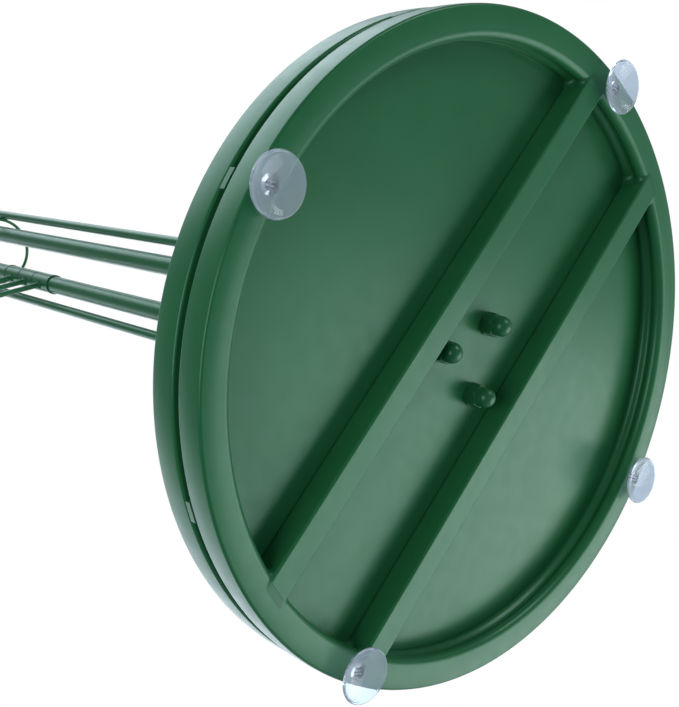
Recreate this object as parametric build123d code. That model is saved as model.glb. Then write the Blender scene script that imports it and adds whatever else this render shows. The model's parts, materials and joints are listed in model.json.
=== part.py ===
from build123d import *
import math
import os

# Floor stand: a round double-ring base on four suction cups, with a narrow
# four-rod column bolted to its centre and three swing arms on one post.
#
# Millimetres, +Z up. The origin is the centre of the base, on the surface
# that the suction cups stand on. The two posts stand side by side along Y.

# --- driving dimensions -------------------------------------------------
base_radius = 152.5          # outside of both rings (a 12 inch base)
tube_size = 15.0             # square tube that the rings are rolled from
tube_wall = 1.2
tube_corner = 1.5            # corner radius of the tube on the outside of the rings
rolled_corner = 4.0          # corner radius on their inside, softened by rolling
roll_sag = 1.9               # how far the inner wall of a rolled ring sinks in
ring_gap = 3.0               # from the lower ring to the upper ring
cup_height = 6.5             # from the floor to the underside of the lower ring
plate_thickness = 2.0

bar_size = 12.7              # half inch square tube of the two cross bars
bar_wall = 1.0
bar_corner = 1.2
bar_offsets = [-33.0, 36.5]  # from the centre line to the middle of each bar
bar_angle = 117.5            # direction of the cross bars from +X, degrees

tab_length = 9.0             # blocks welded between the two rings
tab_depth = 5.0
tab_inset = 0.2              # from the outside of the rings to the tabs
tab_angles = [12.0, 57.0, 103.0, 148.3, 196.9, 237.7, 284.0, 328.0]

cup_radius = 12.5
cup_circle = 146.0           # radius of the circle that the cups stand on
cup_angles = [-162.3, -72.1, 17.7, 105.6]
cup_neck_radius = 2.45
cup_hole_radius = 2.5
cup_shoulder_radius = 4.2
cup_head_radius = 4.0
cup_head_height = 3.0
cup_hollow = 3.6             # depth of the hollow under the cup
cup_lip = 1.0                # flat width of the cup's rim

bolt_circle = 19.25          # radius of the circle of the three foot studs
bolt_angles = [180.0, -60.0, 60.0]
stud_radius = 3.0
stud_clearance = 0.3
washer_radius = 5.6
washer_thickness = 1.0
nut_flats = 10.0             # across the flats of the cap nuts
nut_hex_height = 5.0
nut_height = 12.0
nut_dome_radius = 4.75
nut_chamfer = 0.6

flange_radius = 38.0
flange_thickness = 5.0

post_radius = 6.35           # half inch tube
post_wall = 1.2
post_spacing = 30.0
post_top = 646.0
cap_rise = 4.0
cap_plug_length = 12.0
cap_lip = 1.5

side_rod_radius = 3.2
side_rod_spacing = 62.0
side_rod_shoulder = 656.0    # where the side rods start to bend over

hoop_wire_radius = 1.2
hoop_height = 547.0

collar_radius = 7.3
collar_height = 2.5
collar_chamfer = 0.3
sleeve_clearance = 0.05      # running fit of each sleeve on its post
sleeve_wall = 0.6
sleeve_height = 23.2
spacer_thickness = 1.0
stack_gap = 0.3              # end play above and below each sleeve
stack_bottom = 431.0         # underside of the lower stop collar

arm_count = 3
arm_radius = 2.0
arm_reach = 124.0            # from the post's axis to the end of the straight run
arm_angle = 154.7            # direction of the arms from +X at rest, degrees
arm_tip_rise = 14.0          # upturned end
arm_tip_bend = 8.0

# --- levels worked out from them ---------------------------------------
lower_ring_bottom = cup_height
lower_ring_top = lower_ring_bottom + tube_size
upper_ring_bottom = lower_ring_top + ring_gap
plate_bottom = lower_ring_bottom + bar_size
plate_top = plate_bottom + plate_thickness
ring_inner_radius = base_radius - tube_size
plate_radius = ring_inner_radius + rolled_corner
flange_top = plate_top + flange_thickness
post_y = post_spacing / 2
side_y = side_rod_spacing / 2
hoop_radius = side_y - side_rod_radius - hoop_wire_radius
sleeve_bore = post_radius + sleeve_clearance
sleeve_radius = sleeve_bore + sleeve_wall
sleeve_pitch = sleeve_height + 2 * stack_gap + spacer_thickness

os.makedirs("parts", exist_ok=True)


def polar(radius, angle, z=0.0):
    """Position on a circle about the Z axis."""
    turn = math.radians(angle)
    return Pos(radius * math.cos(turn), radius * math.sin(turn), z)


def cylinder_up(radius, height):
    """Cylinder that stands on Z = 0."""
    return Cylinder(radius, height, align=(Align.CENTER, Align.CENTER, Align.MIN))


def save(shape, node):
    export_step(shape, f"parts/{node}.step")


# --- base ---------------------------------------------------------------
def ring_section(bottom):
    """Square tube section of a rolled ring: its inner wall sinks in a little."""
    low, high = bottom, bottom + tube_size
    middle = (low + high) / 2
    inner, outer = ring_inner_radius, base_radius
    outline = [
        Line((inner, low), (outer, low)),
        Line((outer, low), (outer, high)),
        Line((outer, high), (inner, high)),
        ThreePointArc((inner, high), (inner + roll_sag, middle), (inner, low)),
    ]
    face = make_face(outline)
    face = fillet(face.vertices().group_by(Axis.X)[-1], tube_corner)
    return fillet(face.vertices().group_by(Axis.X)[0], rolled_corner)


def rolled_ring(bottom):
    """Ring of hollow square tube about the Z axis."""
    outside = ring_section(bottom)
    inside = offset(outside, amount=-tube_wall)
    return revolve(Plane.XZ * (outside - inside), axis=Axis.Z)


def lower_ring():
    """The ring that carries the cups, with a hole for each cup's neck."""
    ring = rolled_ring(lower_ring_bottom)
    hole_depth = 3 * tube_wall
    for angle in cup_angles:
        hole = cylinder_up(cup_hole_radius, hole_depth)
        ring -= polar(cup_circle, angle, lower_ring_bottom - tube_wall) * hole
    return ring


def upper_ring():
    """The rim above the plate, with a vent hole for coating on its inner wall."""
    ring = rolled_ring(upper_ring_bottom)
    vent = Cylinder(1.5, 4 * tube_wall, rotation=(0, 90, 0))
    return ring - Pos(ring_inner_radius + roll_sag, 0, upper_ring_bottom + tube_size / 2) * vent


def filled_lower_ring():
    """The space that the lower ring takes, its inside included."""
    return revolve(Plane.XZ * ring_section(lower_ring_bottom), axis=Axis.Z)


def base_plate():
    """The disc let into the top of the lower ring, with three holes for the foot studs."""
    plate = Pos(0, 0, plate_bottom) * cylinder_up(plate_radius, plate_thickness)
    plate -= filled_lower_ring()
    for angle in bolt_angles:
        hole = cylinder_up(stud_radius + stud_clearance, plate_thickness)
        plate -= polar(bolt_circle, angle, plate_bottom) * hole
    return plate


def rim_tabs():
    """Blocks in the gap between the rings, which hold the upper ring."""
    outer = base_radius - tab_inset
    band = cylinder_up(outer, ring_gap) - cylinder_up(outer - tab_depth, ring_gap)
    block = Box(3 * tab_depth, tab_length, ring_gap, align=(Align.CENTER, Align.CENTER, Align.MIN))
    tabs = [band & (polar(outer, angle) * Rot(0, 0, angle) * block) for angle in tab_angles]
    return Compound(children=[Pos(0, 0, lower_ring_top) * tab.solid() for tab in tabs])


def cross_bar(bar_offset):
    """Square tube under the plate, its ends coped to the lower ring's inner wall."""
    outside = RectangleRounded(bar_size, bar_size, bar_corner)
    inside = RectangleRounded(bar_size - 2 * bar_wall, bar_size - 2 * bar_wall, bar_corner - bar_wall / 2)
    reach = ring_inner_radius + rolled_corner - bar_wall
    bar = extrude(Plane.YZ * (outside - inside), amount=reach, both=True)
    middle = plate_bottom - bar_size / 2
    bar = Rot(0, 0, bar_angle) * Pos(0, -bar_offset, middle) * bar
    bar &= Pos(0, 0, lower_ring_bottom) * cylinder_up(reach, bar_size)
    return bar - filled_lower_ring()


def suction_cup(angle):
    """Clear cup: bell, shoulder, neck through the ring's wall and a snap-in head."""
    head_bottom = lower_ring_bottom + tube_wall + 0.1
    head_top = head_bottom + cup_head_height
    shoulder = (cup_shoulder_radius, lower_ring_bottom - 0.9)
    rim_top = (cup_radius, 0.6)
    lip = (cup_radius - cup_lip, 0)
    crown = (cup_neck_radius, cup_hollow)
    outline = [
        Line((0, cup_hollow), (0, head_top)),
        Line((0, head_top), (cup_head_radius - 1.6, head_top)),
        Line((cup_head_radius - 1.6, head_top), (cup_head_radius, head_bottom + 0.8)),
        Line((cup_head_radius, head_bottom + 0.8), (cup_head_radius, head_bottom)),
        Line((cup_head_radius, head_bottom), (cup_neck_radius, head_bottom)),
        Line((cup_neck_radius, head_bottom), (cup_neck_radius, lower_ring_bottom)),
        Line((cup_neck_radius, lower_ring_bottom), (cup_shoulder_radius, lower_ring_bottom)),
        Line((cup_shoulder_radius, lower_ring_bottom), shoulder),
        Bezier(shoulder, (7.5, 4.9), (11.0, 2.8), rim_top),
        Line(rim_top, (cup_radius, 0)),
        Line((cup_radius, 0), lip),
        Bezier(lip, (9.5, 2.2), (6.0, cup_hollow), crown),
        Line(crown, (0, cup_hollow)),
    ]
    cup = revolve(Plane.XZ * make_face(outline), axis=Axis.Z)
    return polar(cup_circle, angle) * cup


# --- foot of the column -------------------------------------------------
def foot_flange():
    """Disc that the rods are welded to, with a hole for each stud."""
    flange = cylinder_up(flange_radius, flange_thickness)
    flange = chamfer(flange.faces().sort_by(Axis.Z)[-1].edges(), 0.8)
    for angle in bolt_angles:
        flange -= polar(bolt_circle, angle) * cylinder_up(stud_radius, flange_thickness)
    return Pos(0, 0, plate_top) * flange


def foot_stud(angle):
    """Threaded stud welded into the flange, down through the plate."""
    nut_bottom = plate_bottom - washer_thickness - nut_height
    stud_bottom = nut_bottom + nut_dome_radius
    return polar(bolt_circle, angle, stud_bottom) * cylinder_up(stud_radius, flange_top - stud_bottom)


def foot_washer(angle):
    """Flat washer between the plate and a cap nut."""
    washer = cylinder_up(washer_radius, washer_thickness)
    washer -= cylinder_up(stud_radius + stud_clearance, washer_thickness)
    return polar(bolt_circle, angle, plate_bottom - washer_thickness) * washer


def cap_nut(angle):
    """Domed hexagon nut, mouth up, on a stud under the plate."""
    top = plate_bottom - washer_thickness
    corner_radius = nut_flats / math.sqrt(3)
    hexagon = extrude(RegularPolygon(corner_radius, 6), amount=nut_hex_height)
    cone_top = corner_radius + nut_chamfer * math.sqrt(3)
    cone = Cone(
        corner_radius - nut_chamfer, cone_top + nut_hex_height, nut_hex_height + 2 * nut_chamfer,
        align=(Align.CENTER, Align.CENTER, Align.MIN),
    )
    hexagon &= cone
    straight = nut_height - nut_hex_height - nut_dome_radius
    dome_centre = -straight
    dome = Pos(0, 0, dome_centre) * cylinder_up(nut_dome_radius, straight + nut_hex_height / 2)
    dome += Pos(0, 0, dome_centre) * Sphere(nut_dome_radius)
    nut = hexagon + dome
    thread_depth = nut_height - nut_dome_radius
    nut -= Pos(0, 0, nut_hex_height - thread_depth) * cylinder_up(stud_radius, thread_depth)
    return polar(bolt_circle, angle, top - nut_hex_height) * Rot(0, 0, angle + 10) * nut


# --- column -------------------------------------------------------------
def main_post(side):
    """Tube that stands on the flange."""
    length = post_top - flange_top
    tube = cylinder_up(post_radius, length) - cylinder_up(post_radius - post_wall, length)
    return Pos(0, side * post_y, flange_top) * tube


def post_cap(side):
    """Domed plug that closes the top of a post."""
    plug_radius = post_radius - post_wall
    plug = Pos(0, 0, -cap_plug_length) * cylinder_up(plug_radius, cap_plug_length)
    lip = cylinder_up(post_radius, cap_lip)
    dome_rise = cap_rise - cap_lip
    sphere_radius = (post_radius**2 + dome_rise**2) / (2 * dome_rise)
    dome = Pos(0, 0, cap_rise - sphere_radius) * Sphere(sphere_radius)
    dome &= Pos(0, 0, cap_lip) * cylinder_up(post_radius, cap_rise)
    return Pos(0, side * post_y, post_top) * (plug + lip + dome)


def side_rod():
    """One rod bent over at the top, with a leg outside each post."""
    path = Polyline((0, -side_y, flange_top), (0, -side_y, side_rod_shoulder))
    path += ThreePointArc(
        (0, -side_y, side_rod_shoulder), (0, 0, side_rod_shoulder + side_y), (0, side_y, side_rod_shoulder)
    )
    path += Line((0, side_y, side_rod_shoulder), (0, side_y, flange_top))
    section = Plane(origin=(0, -side_y, flange_top), z_dir=(0, 0, 1)) * Circle(side_rod_radius)
    return sweep(section, path=path)


def guide_hoop():
    """Wire ring round both posts, welded to the inside of the side rods."""
    return Pos(0, 0, hoop_height) * Torus(hoop_radius, hoop_wire_radius)


# --- swing arms ---------------------------------------------------------
def stop_collar(bottom):
    """Ring shrunk on the right-hand post, which keeps the sleeves in place."""
    collar = cylinder_up(collar_radius, collar_height)
    collar = chamfer(collar.edges().filter_by(GeomType.CIRCLE), collar_chamfer)
    collar -= cylinder_up(post_radius, collar_height)
    return Pos(0, post_y, bottom) * collar


def spacer(bottom):
    """Plastic washer between two sleeves."""
    washer = cylinder_up(sleeve_radius, spacer_thickness) - cylinder_up(post_radius, spacer_thickness)
    return Pos(0, post_y, bottom) * washer


def swing_sleeve(bottom):
    """Short tube that turns on the post."""
    tube = cylinder_up(sleeve_radius, sleeve_height) - cylinder_up(sleeve_bore, sleeve_height)
    return Pos(0, post_y, bottom) * tube


def swing_rod(bottom):
    """Arm rod, coped to its sleeve, with an upturned end."""
    level = sleeve_height / 2
    bend_start = (arm_reach - arm_tip_bend, 0, level)
    bend_middle = (
        arm_reach - arm_tip_bend + arm_tip_bend * math.sin(math.pi / 4),
        0,
        level + arm_tip_bend * (1 - math.cos(math.pi / 4)),
    )
    bend_end = (arm_reach, 0, level + arm_tip_bend)
    tip = (arm_reach, 0, level + arm_tip_rise)
    path = Line((0, 0, level), bend_start)
    path += ThreePointArc(bend_start, bend_middle, bend_end)
    path += Line(bend_end, tip)
    section = Plane(origin=(0, 0, level), z_dir=(1, 0, 0)) * Circle(arm_radius)
    rod = sweep(section, path=path) + Pos(tip) * Sphere(arm_radius)
    rod -= cylinder_up(sleeve_radius, sleeve_height)
    return Pos(0, post_y, bottom) * Rot(0, 0, arm_angle) * rod


# --- write every piece --------------------------------------------------
stack_top = stack_bottom + collar_height + arm_count * sleeve_pitch - spacer_thickness

save(lower_ring(), "lower_ring")
save(upper_ring(), "upper_ring")
save(base_plate(), "base_plate")
save(rim_tabs(), "rim_tabs")
for name, offset_of_bar in zip(("left", "right"), bar_offsets):
    save(cross_bar(offset_of_bar), f"cross_bar_{name}")
for number, cup_angle in enumerate(cup_angles, start=1):
    save(suction_cup(cup_angle), f"suction_cup_{number}")

save(foot_flange(), "foot_flange")
for number, bolt_angle in enumerate(bolt_angles, start=1):
    save(foot_stud(bolt_angle), f"foot_stud_{number}")
    save(foot_washer(bolt_angle), f"foot_washer_{number}")
    save(cap_nut(bolt_angle), f"cap_nut_{number}")

for name, post_side in (("left", -1), ("right", 1)):
    save(main_post(post_side), f"main_post_{name}")
    save(post_cap(post_side), f"post_cap_{name}")
save(side_rod(), "side_rod")
save(guide_hoop(), "guide_hoop")

save(stop_collar(stack_bottom), "stop_collar_lower")
save(stop_collar(stack_top), "stop_collar_upper")
for number in range(1, arm_count + 1):
    sleeve_bottom = stack_bottom + collar_height + stack_gap + (number - 1) * sleeve_pitch
    save(swing_sleeve(sleeve_bottom), f"swing_sleeve_{number}")
    save(swing_rod(sleeve_bottom), f"swing_rod_{number}")
    if number < arm_count:
        save(spacer(sleeve_bottom + sleeve_height + stack_gap), f"spacer_{number}")
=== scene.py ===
import bpy
import json
import math
from mathutils import Matrix, Vector

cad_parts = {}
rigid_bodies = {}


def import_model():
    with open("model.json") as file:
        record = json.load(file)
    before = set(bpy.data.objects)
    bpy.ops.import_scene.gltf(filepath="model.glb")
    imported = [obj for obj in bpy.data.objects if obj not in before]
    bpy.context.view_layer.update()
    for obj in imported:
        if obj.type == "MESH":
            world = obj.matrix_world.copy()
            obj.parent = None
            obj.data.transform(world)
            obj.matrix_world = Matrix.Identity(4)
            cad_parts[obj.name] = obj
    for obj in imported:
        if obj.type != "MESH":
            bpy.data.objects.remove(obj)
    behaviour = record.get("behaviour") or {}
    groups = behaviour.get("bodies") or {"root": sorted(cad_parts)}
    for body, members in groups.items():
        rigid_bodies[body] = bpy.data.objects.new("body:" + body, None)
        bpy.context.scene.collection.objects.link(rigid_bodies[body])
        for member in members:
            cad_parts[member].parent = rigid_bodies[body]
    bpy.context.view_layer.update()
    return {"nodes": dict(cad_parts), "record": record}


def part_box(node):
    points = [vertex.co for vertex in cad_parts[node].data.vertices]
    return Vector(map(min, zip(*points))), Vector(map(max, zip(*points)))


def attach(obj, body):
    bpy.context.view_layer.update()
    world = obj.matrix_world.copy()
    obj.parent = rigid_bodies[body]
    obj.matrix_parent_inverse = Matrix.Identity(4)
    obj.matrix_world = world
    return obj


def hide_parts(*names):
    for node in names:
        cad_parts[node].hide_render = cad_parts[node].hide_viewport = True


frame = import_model()
nodes = frame["nodes"]
scene = bpy.context.scene

MM = 0.001
cups = [name for name in sorted(nodes) if name.startswith("suction_cup_")]


def middle(node):
    low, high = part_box(node)
    return (low + high) / 2


# --- measures of the frame ---------------------------------------------
ring_low, ring_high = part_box("lower_ring")
rim_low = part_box("upper_ring")[0]
flange_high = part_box("foot_flange")[1]
ring_radius = min(ring_high.x, ring_high.y, -ring_low.x, -ring_low.y)
tube = ring_high.z - ring_low.z
post_low, post_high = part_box("main_post_right")
post_radius = (post_high.x - post_low.x) / 2
post_y = middle("main_post_right").y
hoop_low, hoop_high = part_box("guide_hoop")
wire_radius = (hoop_high.z - hoop_low.z) / 2
hoop_radius = hoop_high.x - wire_radius


# --- node materials -----------------------------------------------------
class Shader:
    """A material and short ways to add and link its nodes."""

    def __init__(self, name):
        self.material = bpy.data.materials.new(name)
        self.material.use_nodes = True
        self.tree = self.material.node_tree
        self.surface = self.tree.nodes["Principled BSDF"]
        self.place = self.add("ShaderNodeTexCoord").outputs["Object"]

    def add(self, kind, **settings):
        node = self.tree.nodes.new(kind)
        for key, value in settings.items():
            setattr(node, key, value)
        return node

    def link(self, source, target):
        self.tree.links.new(source, target)

    def noise(self, scale, detail=2.0, roughness=0.5):
        node = self.add("ShaderNodeTexNoise")
        node.inputs["Scale"].default_value = scale
        node.inputs["Detail"].default_value = detail
        node.inputs["Roughness"].default_value = roughness
        self.link(self.place, node.inputs["Vector"])
        return node.outputs["Fac"]

    def spread(self, source, low, high, start=0.3, end=0.7):
        node = self.add("ShaderNodeMapRange")
        node.inputs["From Min"].default_value = start
        node.inputs["From Max"].default_value = end
        node.inputs["To Min"].default_value = low
        node.inputs["To Max"].default_value = high
        self.link(source, node.inputs["Value"])
        return node.outputs["Result"]

    def blend(self, source, first, second, start=0.3, end=0.7):
        node = self.add("ShaderNodeValToRGB")
        node.color_ramp.elements[0].position = start
        node.color_ramp.elements[1].position = end
        node.color_ramp.elements[0].color = (*first, 1)
        node.color_ramp.elements[1].color = (*second, 1)
        self.link(source, node.inputs["Fac"])
        return node.outputs["Color"]

    def bump(self, height, distance, strength=1.0, normal=None):
        node = self.add("ShaderNodeBump")
        node.inputs["Distance"].default_value = distance
        node.inputs["Strength"].default_value = strength
        self.link(height, node.inputs["Height"])
        if normal is not None:
            self.link(normal, node.inputs["Normal"])
        return node.outputs["Normal"]

    def soft_edge(self, radius):
        node = self.add("ShaderNodeBevel", samples=4)
        node.inputs["Radius"].default_value = radius
        return node.outputs["Normal"]


def powder_coat(name, dark, light, rough, edge=0.0, peel=1.0):
    """Smooth powder coat: orange peel and faint colour clouds."""
    shader = Shader(name)
    surface = shader.surface
    clouds = shader.noise(22, 3)
    shader.link(shader.blend(clouds, dark, light), surface.inputs["Base Color"])
    gloss = shader.spread(shader.noise(140, 3), rough - 0.03, rough + 0.04)
    shader.link(gloss, surface.inputs["Roughness"])
    normal = shader.soft_edge(edge) if edge else None
    fine = shader.bump(shader.noise(2600, 2, 0.6), 0.00002, 0.35 * peel, normal)
    wide = shader.bump(shader.noise(620, 2), 0.00006, 0.35 * peel, fine)
    shader.link(wide, surface.inputs["Normal"])
    surface.inputs["IOR"].default_value = 1.45
    surface.inputs["Specular Tint"].default_value = (0.58, 1.0, 0.82, 1)
    surface.inputs["Coat Weight"].default_value = 0.04
    surface.inputs["Coat Roughness"].default_value = 0.18
    return shader.material


def zinc_plate(name):
    shader = Shader(name)
    surface = shader.surface
    surface.inputs["Metallic"].default_value = 1
    tint = shader.blend(shader.noise(420, 4), (0.42, 0.44, 0.46), (0.62, 0.63, 0.62))
    shader.link(tint, surface.inputs["Base Color"])
    shader.link(shader.spread(shader.noise(900, 3), 0.28, 0.45), surface.inputs["Roughness"])
    shader.link(shader.bump(shader.noise(3200, 2), 0.00003, 0.4), surface.inputs["Normal"])
    return shader.material


def moulded_plastic(name, dark, light):
    shader = Shader(name)
    surface = shader.surface
    shader.link(shader.blend(shader.noise(90, 2), dark, light), surface.inputs["Base Color"])
    shader.link(shader.spread(shader.noise(500, 3), 0.42, 0.56), surface.inputs["Roughness"])
    shader.link(shader.bump(shader.noise(3000, 3), 0.00003, 0.5), surface.inputs["Normal"])
    return shader.material


def soft_vinyl(name):
    """Clear soft PVC with a faint blue cast and slight flow marks."""
    shader = Shader(name)
    surface = shader.surface
    tint = shader.blend(shader.noise(160, 2), (0.77, 0.88, 1.0), (0.84, 0.93, 1.0))
    shader.link(tint, surface.inputs["Base Color"])
    surface.inputs["Transmission Weight"].default_value = 0.74
    surface.inputs["IOR"].default_value = 1.28
    shader.link(shader.spread(shader.noise(300, 2), 0.01, 0.04), surface.inputs["Roughness"])
    shader.link(shader.bump(shader.noise(260, 2), 0.0001, 0.12), surface.inputs["Normal"])
    return shader.material


def ribbed_vinyl_painted_reflections(name):
    """The ribbed hub of a cup: near-black and white bands painted across it stand in for reflections on
    its clear ribs.
    """
    shader = Shader(name)
    surface = shader.surface
    bands = shader.add("ShaderNodeTexWave", bands_direction="Y")
    bands.inputs["Scale"].default_value = 190
    bands.inputs["Distortion"].default_value = 1.2
    shader.link(shader.place, bands.inputs["Vector"])
    # painted reflections: near-black and white stripes in the base colour imitate light and dark caught
    # by the clear ribs
    tint = shader.blend(bands.outputs["Fac"], (0.05, 0.07, 0.14), (0.86, 0.89, 0.96), 0.42, 0.58)
    shader.link(tint, surface.inputs["Base Color"])
    shader.link(shader.bump(bands.outputs["Fac"], 0.0002, 0.6), surface.inputs["Normal"])
    surface.inputs["Roughness"].default_value = 0.25
    return shader.material


SOFT_EDGE = 0.0004            # radius of the rounding on edges, metres
GREEN_DARK, GREEN_LIGHT = (0.015, 0.124, 0.042), (0.019, 0.140, 0.049)
coat = powder_coat("green_powder_coat", GREEN_DARK, GREEN_LIGHT, 0.32)
coat_edges = powder_coat("green_powder_coat_soft_edges", GREEN_DARK, GREEN_LIGHT, 0.32, edge=SOFT_EDGE)
coat_hardware = powder_coat("coated_hardware", (0.012, 0.10, 0.036), (0.017, 0.122, 0.044), 0.30,
                            edge=SOFT_EDGE, peel=0.7)
weld_coat = powder_coat("green_weld", (0.012, 0.10, 0.034), (0.017, 0.12, 0.042), 0.36, peel=1.6)
zinc = zinc_plate("zinc_steel")
plastic = moulded_plastic("green_plastic", (0.008, 0.055, 0.02), (0.012, 0.07, 0.026))
vinyl = soft_vinyl("clear_pvc")
vinyl_hub_painted_reflections = ribbed_vinyl_painted_reflections("clear_pvc_hub_painted_reflections")


# --- mesh helpers -------------------------------------------------------
def new_piece(name, points, faces, material, body, smooth=True):
    mesh = bpy.data.meshes.new(name)
    mesh.from_pydata([tuple(p) for p in points], [], faces)
    mesh.polygons.foreach_set("use_smooth", [smooth] * len(mesh.polygons))
    mesh.materials.append(material)
    mesh.update()
    piece = bpy.data.objects.new(name, mesh)
    scene.collection.objects.link(piece)
    if body:
        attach(piece, body)
    return piece


def arc(centre, radius, start, end, steps):
    """Points of an arc in the (r, z) plane, angles in degrees."""
    angles = [math.radians(start + (end - start) * k / steps) for k in range(steps + 1)]
    return [(centre[0] + radius * math.cos(a), centre[1] + radius * math.sin(a)) for a in angles]


def lathe(profile, turns, closed, centre=(0, 0)):
    """Points and faces of a profile of (r, z) turned about the vertical axis."""
    points, faces, count = [], [], len(profile)
    for k in range(turns):
        c, s = math.cos(2 * math.pi * k / turns), math.sin(2 * math.pi * k / turns)
        points += [(centre[0] + r * c, centre[1] + r * s, z) for r, z in profile]
    last = count if closed else count - 1
    for k in range(turns):
        a, b = k * count, (k + 1) % turns * count
        faces += [(a + i, b + i, b + (i + 1) % count, a + (i + 1) % count) for i in range(last)]
    return points, faces


# --- CAD nodes that stay, with better materials -------------------------
finish_of = {"green_powder_coat": coat_edges, "coated_hardware": coat_hardware, "zinc_steel": zinc,
             "green_plastic": plastic, "clear_pvc": vinyl}
for part in frame["record"]["subparts"]:
    mesh = nodes[part["node"]].data
    mesh.materials.clear()
    mesh.materials.append(finish_of[part["material_slot"]])


# --- rolled rings -------------------------------------------------------
CROWN = 0.25 * MM          # how far the outer, lower and upper walls of the tube bulge
SINK = 1.9 * MM            # how far the inner wall has sunk in
OUTER_CORNER, INNER_CORNER = 1.3 * MM, 4.0 * MM
ring_inner = ring_radius - tube + 0.4 * MM


def crowned(start, end, bulge, steps=10):
    """Points between start and end on a shallow arch that stands off by bulge."""
    points = []
    for k in range(1, steps):
        u = k / steps
        lift = 1 - (2 * u - 1) ** 2
        points.append(tuple(start[i] + (end[i] - start[i]) * u + bulge[i] * lift for i in (0, 1)))
    return points


def ring_wall(z, low):
    """Radius of a ring's inner surface at height z."""
    up = min(max(z - low, 0), tube)
    if up < INNER_CORNER:
        return ring_inner + INNER_CORNER - math.sqrt(INNER_CORNER ** 2 - (INNER_CORNER - up) ** 2)
    if up > tube - INNER_CORNER:
        return ring_wall(low + tube - up, low)
    u = (up - INNER_CORNER) / (tube - 2 * INNER_CORNER)
    return ring_inner + SINK * (1 - math.cos(2 * math.pi * u)) / 2


def ring_section(low):
    high, outer = low + tube - CROWN, ring_radius - CROWN
    low += CROWN
    corner = OUTER_CORNER
    bottom_corner = arc((outer - corner, low + corner), corner, -90, 0, 8)
    top_corner = arc((outer - corner, high - corner), corner, 0, 90, 8)
    steps = 40
    inner = []
    for k in range(steps + 1):
        z = high - (high - low) * (1 - math.cos(math.pi * k / steps)) / 2
        inner.append((ring_wall(low - CROWN + (z - low) / (high - low) * tube, low - CROWN), z))
    section = bottom_corner
    section += crowned(bottom_corner[-1], top_corner[0], (CROWN, 0))
    section += top_corner
    section += crowned(top_corner[-1], inner[0], (0, CROWN))
    section += inner
    section += crowned(inner[-1], bottom_corner[0], (0, -CROWN))
    return section


def cut_holes(piece, centres, radius, z, depth):
    """Holes for the cups' necks in the underside of a ring."""
    for number, centre in enumerate(centres):
        profile = [(0, z - depth), (radius, z - depth), (radius, z + depth), (0, z + depth)]
        points, faces = lathe(profile, 32, False, centre)
        tool = new_piece(f"hole_tool_{number}", points, faces, coat, None)
        mod = piece.modifiers.new("hole", "BOOLEAN")
        mod.operation, mod.object, mod.solver = "DIFFERENCE", tool, "EXACT"
    graph = bpy.context.evaluated_depsgraph_get()
    mesh = bpy.data.meshes.new_from_object(piece.evaluated_get(graph))
    piece.modifiers.clear()
    piece.data = mesh
    for number in range(len(centres)):
        bpy.data.objects.remove(bpy.data.objects[f"hole_tool_{number}"])


cup_places = [(middle(name).x, middle(name).y) for name in cups]
for label, low in (("lower", ring_low.z), ("upper", rim_low.z)):
    points, faces = lathe(ring_section(low), 384, True)
    ring = new_piece(f"rolled_ring_{label}", points, faces, coat, "stand")
    if label == "lower":
        cut_holes(ring, cup_places, 2.5 * MM, low, 5 * MM)
    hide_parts(f"{label}_ring")


# --- suction cups -------------------------------------------------------
def bezier(points, steps):
    """Points of a Bezier curve through the (r, z) control points, first and last included."""
    result = []
    for k in range(steps + 1):
        row = [tuple(q) for q in points]
        while len(row) > 1:
            pairs = zip(row, row[1:])
            row = [tuple(a[i] + (b[i] - a[i]) * k / steps for i in range(len(a))) for a, b in pairs]
        result.append(row[0])
    return result


def cup_profile():
    """Thin bell with a thick round rim, a ribbed neck and the snap-in head, in mm."""
    under = ring_low.z / MM
    bell_under = bezier([(11.4, 0.5), (10.2, 1.6), (7.0, 3.3), (3.2, 3.9)], 12)
    bell_top = bezier([(4.2, under - 0.9), (7.5, 4.75), (10.6, 3.1), (11.9, 1.25)], 12)
    rim = arc((11.9, 0.62), 0.6, 90, -90, 8)
    neck = [(4.2, under - 0.9), (4.2, under - 0.02), (2.4, under - 0.02), (2.4, under + 1.3)]
    head = [(4.0, under + 1.3), (4.0, under + 2.1), (2.4, under + 4.3), (0.0, under + 4.3)]
    hollow = [(0.0, 4.6), (1.2, 4.5), (1.3, 4.0)]
    outline = hollow + bell_under[::-1] + rim[::-1] + bell_top[::-1] + neck + head
    return [(r * MM, z * MM) for r, z in outline]


def hub_profile():
    """Ribbed core of the neck, just under the ring."""
    under = ring_low.z / MM
    outline = [(0, under - 1.6), (1.9, under - 1.6), (2.2, under - 1.3), (2.2, under - 0.1)]
    return [(r * MM, z * MM) for r, z in outline]


for name, place in zip(cups, cup_places):
    points, faces = lathe(cup_profile(), 96, False, place)
    cup = new_piece(name.replace("suction", "vinyl"), points, faces, vinyl, "stand")
    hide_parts(name)
    points, faces = lathe(hub_profile(), 48, False, place)
    new_piece(name.replace("suction_cup", "cup_hub"), points, faces, vinyl_hub_painted_reflections, "stand")


# --- welds --------------------------------------------------------------
def wobble(u, seed):
    """Smooth unevenness of a hand weld along its length."""
    slow, middling = math.sin(2.1 * u + seed), math.sin(5.3 * u + 1.7 * seed)
    return slow * 0.5 + middling * 0.3 + math.sin(13.7 * u + seed) * 0.2


def fillet_strip(name, rows, body, closed=False):
    """Concave weld fillet through rows of (start, corner, end) points."""
    points, faces, steps = [], [], 8
    for row in rows:
        points += bezier([tuple(p) for p in row], steps)
    count, width = len(rows), steps + 1
    for k in range(count if closed else count - 1):
        a, b = k * width, (k + 1) % count * width
        faces += [(a + i, a + i + 1, b + i + 1, b + i) for i in range(steps)]
    return new_piece(name, points, faces, weld_coat, body)


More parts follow.
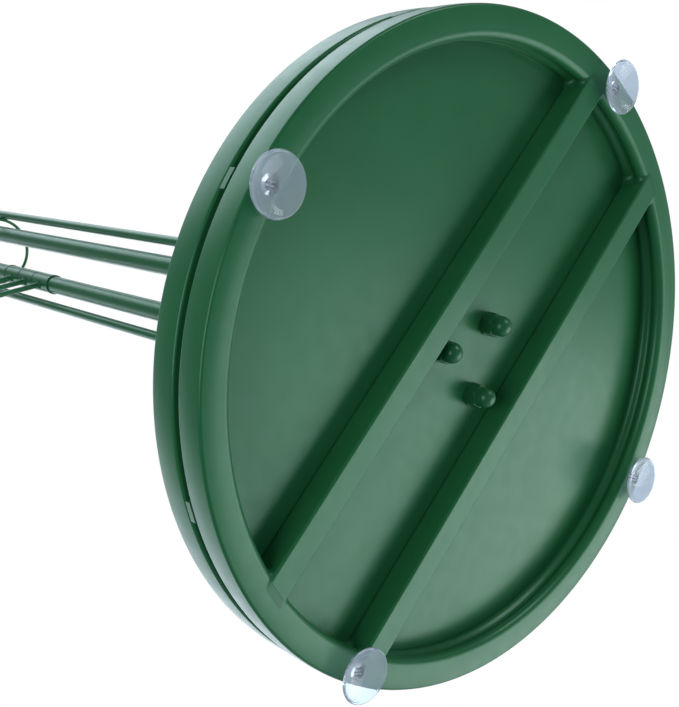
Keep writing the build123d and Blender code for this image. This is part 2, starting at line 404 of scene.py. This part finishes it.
BAR_ANGLE = math.radians(117.5)
BAR_LEFT, BAR_RIGHT = 33.0 * MM, -36.5 * MM
bar_low, bar_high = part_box("cross_bar_left")[0].z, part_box("cross_bar_left")[1].z
BAR_HALF, BAR_CORNER = (bar_high - bar_low) / 2, 1.2 * MM


def bar_outline():
    """Stations (across, height, outward direction) from one top edge of a bar to the other."""
    stations = []
    side_top, side_low = bar_high - 0.1 * MM, bar_low + BAR_CORNER
    for sign in (-1, 1):
        drop = side_low - side_top
        wall = [(sign * BAR_HALF, side_top + drop * k / 10, (sign, 0)) for k in range(11)]
        bend = []
        for k in range(1, 7):
            a = math.radians(90 * k / 7)
            centre = (sign * (BAR_HALF - BAR_CORNER), side_low)
            out = (sign * math.cos(a), -math.sin(a))
            bend.append((centre[0] + out[0] * BAR_CORNER, centre[1] + out[1] * BAR_CORNER, out))
        half = wall + bend
        if sign < 0:
            stations = half
            span = BAR_HALF - BAR_CORNER
            stations += [(-span + 2 * span * k / 8, bar_low, (0, -1)) for k in range(9)]
        else:
            stations += half[::-1]
    return stations


def bar_weld(name, across, end, seed):
    """Weld round one end of a cross bar, from the bar's faces to the ring's rolled wall."""
    along = Vector((math.cos(BAR_ANGLE), math.sin(BAR_ANGLE), 0)) * end
    over = Vector((-math.sin(BAR_ANGLE), math.cos(BAR_ANGLE), 0))

    def on_ring(w, z):
        return math.sqrt(ring_wall(min(z, ring_high.z - 2.5 * MM), ring_low.z) ** 2 - w ** 2)

    def landing(w, z, leg):
        """Where the weld's far edge meets the ring: on its wall, its rolled corner or its underside."""
        drop = ring_low.z + INNER_CORNER - z
        if drop <= 0:
            return on_ring(w, z), z
        u = min(drop / (INNER_CORNER + 0.9 * leg), 1)
        a = u * math.pi / 2
        radius = ring_inner + INNER_CORNER * (1 - math.cos(a)) + 3.5 * MM * u ** 3
        return math.sqrt(radius ** 2 - w ** 2), ring_low.z + INNER_CORNER * (1 - math.sin(a))

    rows = []
    for k, (w, z, out) in enumerate(bar_outline()):
        leg = (3.1 + 0.35 * wobble(k * 0.35, seed)) * MM
        reach = on_ring(across + w, z)
        far_w, far_z = across + w + out[0] * leg, z + out[1] * leg * 0.9
        deep = 0.12 * MM
        start = (reach - leg * 1.15, across + w - out[0] * deep, z - out[1] * deep)
        corner = (reach - 0.1 * MM, across + w + out[0] * 0.1 * MM, z + out[1] * 0.02 * MM)
        far_reach, far_z = landing(far_w, far_z, leg)
        finish = (far_reach + deep, far_w, far_z + deep)
        rows.append([along * t + over * v + Vector((0, 0, h)) for t, v, h in (start, corner, finish)])
    return fillet_strip(name, rows, "stand")


for label, across in (("left", BAR_LEFT), ("right", BAR_RIGHT)):
    for end_label, end in (("low", -1), ("high", 1)):
        bar_weld(f"bar_weld_{label}_{end_label}", across, end, seed=across * 90 + end)


def round_weld(name, centre, radius, leg, body, axis=(0, 0, 1), seed=0.0, ripples=26):
    """Rippled fillet round a rod or tube that stands on a face at centre."""
    turn_to = Vector(axis).normalized().to_track_quat("Z", "X").to_matrix()
    rows, count = [], 96
    for k in range(count):
        a = 2 * math.pi * k / count
        ripple = abs(math.sin(a * ripples / 2 + seed))
        size = leg * (1 + 0.08 * math.sin(3 * a + seed) + 0.10 * ripple)
        out = Vector((math.cos(a), math.sin(a), 0))
        up = Vector((0, 0, 1))
        spots = (out * (radius - 0.05 * MM) + up * size,
                 out * (radius + size * (0.22 + 0.1 * ripple)) + up * size * (0.22 + 0.1 * ripple),
                 out * (radius + size) - up * 0.05 * MM)
        rows.append([Vector(centre) + turn_to @ spot for spot in spots])
    return fillet_strip(name, rows, body, closed=True)


side_low, side_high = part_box("side_rod")
rod_radius = (side_high.x - side_low.x) / 2
rod_y = side_high.y - rod_radius
foot = flange_high.z
for label, sign in (("left", -1), ("right", 1)):
    round_weld(f"post_weld_{label}", (0, sign * post_y, foot), post_radius, 2.2 * MM, "stand", seed=sign)
    round_weld(f"rod_weld_{label}", (0, sign * rod_y, foot), rod_radius, 1.6 * MM, "stand",
               seed=sign, ripples=16)
for name in sorted(n for n in nodes if n.startswith("foot_stud_")):
    place = middle(name)
    round_weld(name.replace("stud", "stud_weld"), (place.x, place.y, foot - 0.1 * MM), 3 * MM,
               0.9 * MM, "stand", ripples=14)


def hoop_weld(name, sign):
    """Small weld that closes the gap where the hoop touches a side rod."""
    centre = Vector((0, sign * (hoop_radius + wire_radius), (hoop_low.z + hoop_high.z) / 2))
    points, faces, turns, steps = [], [], 28, 14
    for i in range(steps + 1):
        v = math.pi * i / steps
        for k in range(turns):
            a = 2 * math.pi * k / turns
            swell = 1 + 0.08 * math.sin(3 * a + 2 * v + sign) + 0.05 * math.sin(7 * v + a)
            across, up = 1.15 * math.sin(v) * math.cos(a), 1.5 * math.sin(v) * math.sin(a)
            offset = (3.1 * math.cos(v), across, up)
            points.append(centre + Vector(offset) * swell * MM)
    for start in range(0, steps * turns, turns):
        for k in range(turns):
            after = start + (k + 1) % turns
            faces.append((start + k, after, after + turns, start + k + turns))
    return new_piece(name, points, faces, weld_coat, "stand")


hoop_weld("hoop_weld_left", -1)
hoop_weld("hoop_weld_right", 1)

ARM_ANGLE = math.radians(154.7)
arm_way = Vector((math.cos(ARM_ANGLE), math.sin(ARM_ANGLE), 0))
for number in (1, 2, 3):
    sleeve_low, sleeve_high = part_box(f"swing_sleeve_{number}")
    sleeve_radius = (sleeve_high.x - sleeve_low.x) / 2
    root = Vector((0, post_y, (sleeve_low.z + sleeve_high.z) / 2))
    root += arm_way * (sleeve_radius - 0.35 * MM)
    round_weld(f"arm_weld_{number}", root, 2.0 * MM, 1.5 * MM, f"swing_arm_{number}", axis=arm_way,
               seed=number, ripples=12)


# --- camera, light and floor --------------------------------------------
camera = bpy.data.objects.new("camera", bpy.data.cameras.new("camera"))
scene.collection.objects.link(camera)
scene.camera = camera
camera.data.sensor_width = 36
camera.data.lens = 52.58
look, up = Vector((0.67156, 0.02429, 0.74055)), Vector((-0.14534, -0.97573, 0.16381))
side = look.cross(up)
turn = Matrix((side, up, -look)).transposed().to_4x4()
camera.matrix_world = Matrix.Translation((-0.35853, 0, -0.29172)) @ turn
camera.data.clip_start = 0.01


def area_light(name, direction, distance, size, power, target=(0, 0, 0.02)):
    """Softbox that faces the target from the given direction."""
    lamp = bpy.data.lights.new(name, "AREA")
    lamp.size, lamp.energy = size, power
    box = bpy.data.objects.new(name, lamp)
    way = Vector(direction).normalized()
    box.location = Vector(target) + way * distance
    box.rotation_euler = way.to_track_quat("Z", "Y").to_euler()
    scene.collection.objects.link(box)


area_light("key_softbox", (0.22, -0.82, -0.52), 1.1, 0.35, 2.4)
area_light("low_softbox", (0.70, 0.20, -0.69), 0.75, 0.58, 3.1, target=(0.05, 0.06, 0.02))
area_light("side_fill", (-0.88, 0.10, -0.30), 1.3, 0.7, 6, target=(0, 0, 0.15))

world = bpy.data.worlds.new("studio")
scene.world = world
world.use_nodes = True
tree = world.node_tree
background = tree.nodes["Background"]
direction = tree.nodes.new("ShaderNodeTexCoord").outputs["Generated"]


def glow(way, start, end, amount):
    """Brightness that grows towards one direction of the studio."""
    dot = tree.nodes.new("ShaderNodeVectorMath")
    dot.operation = "DOT_PRODUCT"
    dot.inputs[1].default_value = Vector(way).normalized()
    tree.links.new(direction, dot.inputs[0])
    ramp = tree.nodes.new("ShaderNodeMapRange")
    ramp.interpolation_type = "SMOOTHSTEP"
    ramp.inputs["From Min"].default_value = start
    ramp.inputs["From Max"].default_value = end
    ramp.inputs["To Max"].default_value = amount
    tree.links.new(dot.outputs["Value"], ramp.inputs["Value"])
    return ramp.outputs["Result"]


def total(values):
    result = values[0]
    for value in values[1:]:
        node = tree.nodes.new("ShaderNodeMath")
        tree.links.new(result, node.inputs[0])
        tree.links.new(value, node.inputs[1])
        result = node.outputs["Value"]
    return result


# An even base, a pool of light to the lower right, one from above, and two long highlights for
# the outer walls of the rings and the posts.
brightness = total([
    glow((0, 0, 1), -3, -1.5, 0.18),
    glow((0.66, 0.42, -0.42), 0.5, 1.0, 0.5),
    glow((0.7, 0, 0.7), 0.1, 0.95, 0.45),
    glow((0.28, 0.53, 0.8), 0.72, 0.97, 1.4),
    glow((-0.12, -0.68, 0.72), 0.78, 0.98, 2.5),
])
path = tree.nodes.new("ShaderNodeLightPath")
seen = tree.nodes.new("ShaderNodeMix")
tree.links.new(path.outputs["Is Camera Ray"], seen.inputs["Factor"])
tree.links.new(brightness, seen.inputs["A"])
seen.inputs["B"].default_value = 1.0
tree.links.new(seen.outputs["Result"], background.inputs["Strength"])
tint = tree.nodes.new("ShaderNodeMix")
tint.data_type = "RGBA"
tree.links.new(path.outputs["Is Camera Ray"], tint.inputs["Factor"])
tint.inputs["A"].default_value = (0.90, 1.0, 1.12, 1)
tint.inputs["B"].default_value = (1, 1, 1, 1)
tree.links.new(tint.outputs["Result"], background.inputs["Color"])
scene.view_settings.view_transform = "Standard"

floor_size = 3.0
floor = new_piece("floor", [(-floor_size, -floor_size, 0), (floor_size, -floor_size, 0),
                            (floor_size, floor_size, 0), (-floor_size, floor_size, 0)],
                  [(0, 1, 2, 3)], bpy.data.materials.new("pale_floor"), None, smooth=False)
floor.visible_shadow = floor.visible_diffuse = floor.visible_glossy = floor.visible_transmission = False
floor.active_material.use_nodes = True
floor_tree = floor.active_material.node_tree
paint = floor_tree.nodes["Principled BSDF"]
paint.inputs["Base Color"].default_value = (0.86, 0.86, 0.87, 1)
paint.inputs["Roughness"].default_value = 0.7
facing = floor_tree.nodes.new("ShaderNodeNewGeometry").outputs["Backfacing"]
clear = floor_tree.nodes.new("ShaderNodeBsdfTransparent")
chooser = floor_tree.nodes.new("ShaderNodeMixShader")
floor_tree.links.new(facing, chooser.inputs["Fac"])
floor_tree.links.new(paint.outputs["BSDF"], chooser.inputs[1])
floor_tree.links.new(clear.outputs["BSDF"], chooser.inputs[2])
floor_tree.links.new(chooser.outputs["Shader"], floor_tree.nodes["Material Output"].inputs["Surface"])
